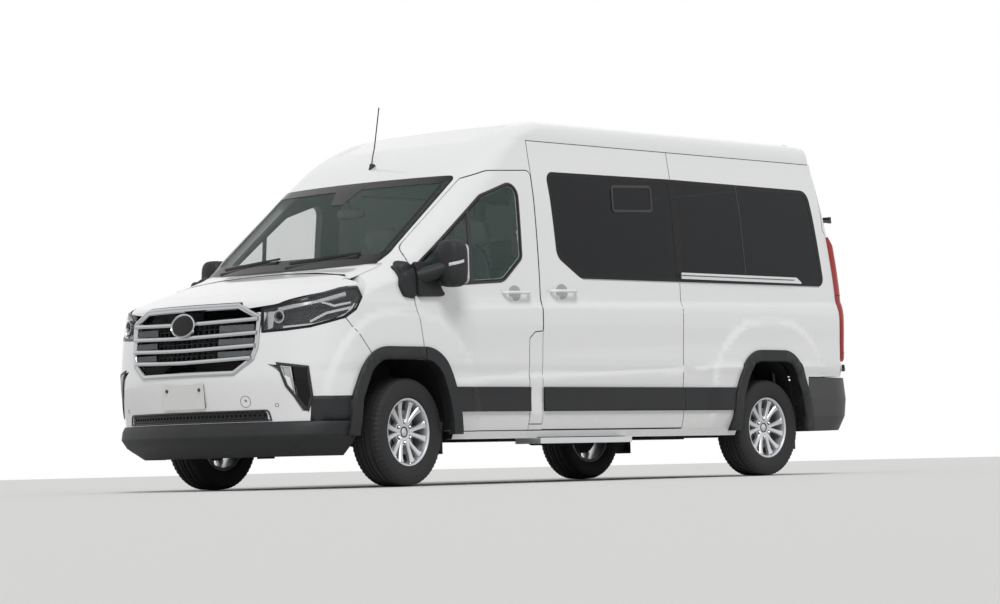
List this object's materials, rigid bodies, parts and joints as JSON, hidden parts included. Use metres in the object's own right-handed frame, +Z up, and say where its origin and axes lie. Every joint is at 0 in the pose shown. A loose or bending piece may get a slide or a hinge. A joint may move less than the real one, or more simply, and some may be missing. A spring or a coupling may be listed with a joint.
{
  "type": "minibus",
  "caption": "White high-roof minibus with a side sliding door, rear barn doors, glazed cabin with rows of seats, alloy wheels and black lower cladding.",
  "frame": {"origin": "on the ground under the middle of the body's length and width", "axes": "+X from nose to tail, +Y to the vehicle's right, +Z up"},
  "size_m": [5.9398, 2.4637, 2.5837],
  "materials": {
    "white_paint": "gloss",
    "tinted_glass": "gloss",
    "clear_glass": "gloss",
    "lamp_glass": "gloss",
    "red_lamp": "gloss",
    "black_plastic": "satin",
    "chrome": "polished",
    "tyre": "matte",
    "alloy": "satin",
    "black_steel": "matte",
    "cast": "matte",
    "seat_fabric": "woven",
    "dash_plastic": "matte",
    "grey_plastic": "satin",
    "aluminium": "brushed",
    "floor_lining": "matte"
  },
  "bodies": {
    "body": {"roof": "white_paint", "cab_frame": "white_paint", "windscreen": "clear_glass", "cowl_and_wipers": "black_plastic", "front_wings": "white_paint", "front_lamps": "lamp_glass", "front_bumper": "white_paint", "grille": "chrome", "lower_trim": "black_plastic", "sliding_door": "white_paint", "side_left": "white_paint", "side_right": "white_paint", "side_windows": "tinted_glass", "rear_frame": "white_paint", "tail_lamps": "red_lamp", "rear_bumper": "grey_plastic", "floor": "floor_lining", "wheel_houses": "black_plastic", "chassis": "black_steel", "engine_block": "cast", "rear_axle": "black_steel", "fuel_tank": "black_plastic", "exhaust": "black_steel", "step_and_rail": "aluminium", "dashboard": "dash_plastic", "cab_seats": "seat_fabric", "passenger_seats": "seat_fabric"},
    "front_door_left": {"front_door_left": "white_paint", "front_glass_left": "clear_glass", "door_trim_left": "black_plastic"},
    "front_door_right": {"front_door_right": "white_paint", "front_glass_right": "clear_glass", "door_trim_right": "black_plastic"},
    "rear_door_left": {"rear_door_left": "white_paint", "rear_glass_left": "tinted_glass"},
    "rear_door_right": {"rear_door_right": "white_paint", "rear_glass_right": "tinted_glass"},
    "bonnet": {"bonnet": "white_paint"},
    "fuel_flap": {"fuel_flap": "white_paint"},
    "knuckle_left": {"knuckle_left": "cast"},
    "knuckle_right": {"knuckle_right": "cast"},
    "wheel_front_left": {"tyre_front_left": "tyre", "rim_front_left": "alloy"},
    "wheel_front_right": {"tyre_front_right": "tyre", "rim_front_right": "alloy"},
    "wheel_rear_left": {"tyre_rear_left": "tyre", "rim_rear_left": "alloy"},
    "wheel_rear_right": {"tyre_rear_right": "tyre", "rim_rear_right": "alloy"},
    "steering_wheel": {"steering_wheel": "dash_plastic"}
  },
  "joints": [
    {"name": "steer_left", "type": "hinge", "parent": "body", "child": "knuckle_left", "pos_m": [-1.92, -0.79, 0.35], "axis": [0, 0, 1], "range_deg": [-39, 26]},
    {"name": "steer_right", "type": "hinge", "parent": "body", "child": "knuckle_right", "pos_m": [-1.92, 0.79, 0.35], "axis": [0, 0, 1], "range_deg": [-39, 26]},
    {"name": "steering_wheel_turn", "type": "hinge", "parent": "body", "child": "steering_wheel", "pos_m": [-1.45, 0.43, 1.27], "axis": [0.766, 0, 0.6428], "range_deg": [-580, 390]},
    {"name": "front_left_spin", "type": "hinge", "parent": "knuckle_left", "child": "wheel_front_left", "pos_m": [-1.91095, -0.872, 0.35], "axis": [-0.1097, 0.994, 0], "continuous": true},
    {"name": "front_right_spin", "type": "hinge", "parent": "knuckle_right", "child": "wheel_front_right", "pos_m": [-1.92905, 0.872, 0.35], "axis": [-0.1097, 0.994, 0], "continuous": true},
    {"name": "rear_left_spin", "type": "hinge", "parent": "body", "child": "wheel_rear_left", "pos_m": [1.84, -0.8625, 0.35], "axis": [0, 1, 0], "continuous": true},
    {"name": "rear_right_spin", "type": "hinge", "parent": "body", "child": "wheel_rear_right", "pos_m": [1.84, 0.8625, 0.35], "axis": [0, 1, 0], "continuous": true},
    {"name": "front_left_door_swing", "type": "hinge", "parent": "body", "child": "front_door_left", "pos_m": [-1.858, -1.018, 1.2], "axis": [0, 0, -1], "range_deg": [0, 70]},
    {"name": "front_right_door_swing", "type": "hinge", "parent": "body", "child": "front_door_right", "pos_m": [-1.858, 1.018, 1.2], "axis": [0, 0, 1], "range_deg": [0, 70]},
    {"name": "rear_left_door_swing", "type": "hinge", "parent": "body", "child": "rear_door_left", "pos_m": [2.802, -0.94, 0.79], "axis": [0.0986, 0, -0.9951], "range_deg": [0, 170]},
    {"name": "rear_right_door_swing", "type": "hinge", "parent": "body", "child": "rear_door_right", "pos_m": [2.802, 0.94, 0.79], "axis": [-0.0986, 0, 0.9951], "range_deg": [0, 170]},
    {"name": "bonnet_lift", "type": "hinge", "parent": "body", "child": "bonnet", "pos_m": [-2.12, 0, 1.45], "axis": [0, 1, 0], "range_deg": [0, 55]},
    {"name": "fuel_flap_swing", "type": "hinge", "parent": "body", "child": "fuel_flap", "pos_m": [-0.643, -1.018, 0.7], "axis": [0, 0, 1], "range_deg": [0, 90]}
  ],
  "couplings": [
    {"joint": "steer_right", "follows": "steer_left", "ratio": 1},
    {"joint": "steering_wheel_turn", "follows": "steer_left", "ratio": 14.5}
  ]
}
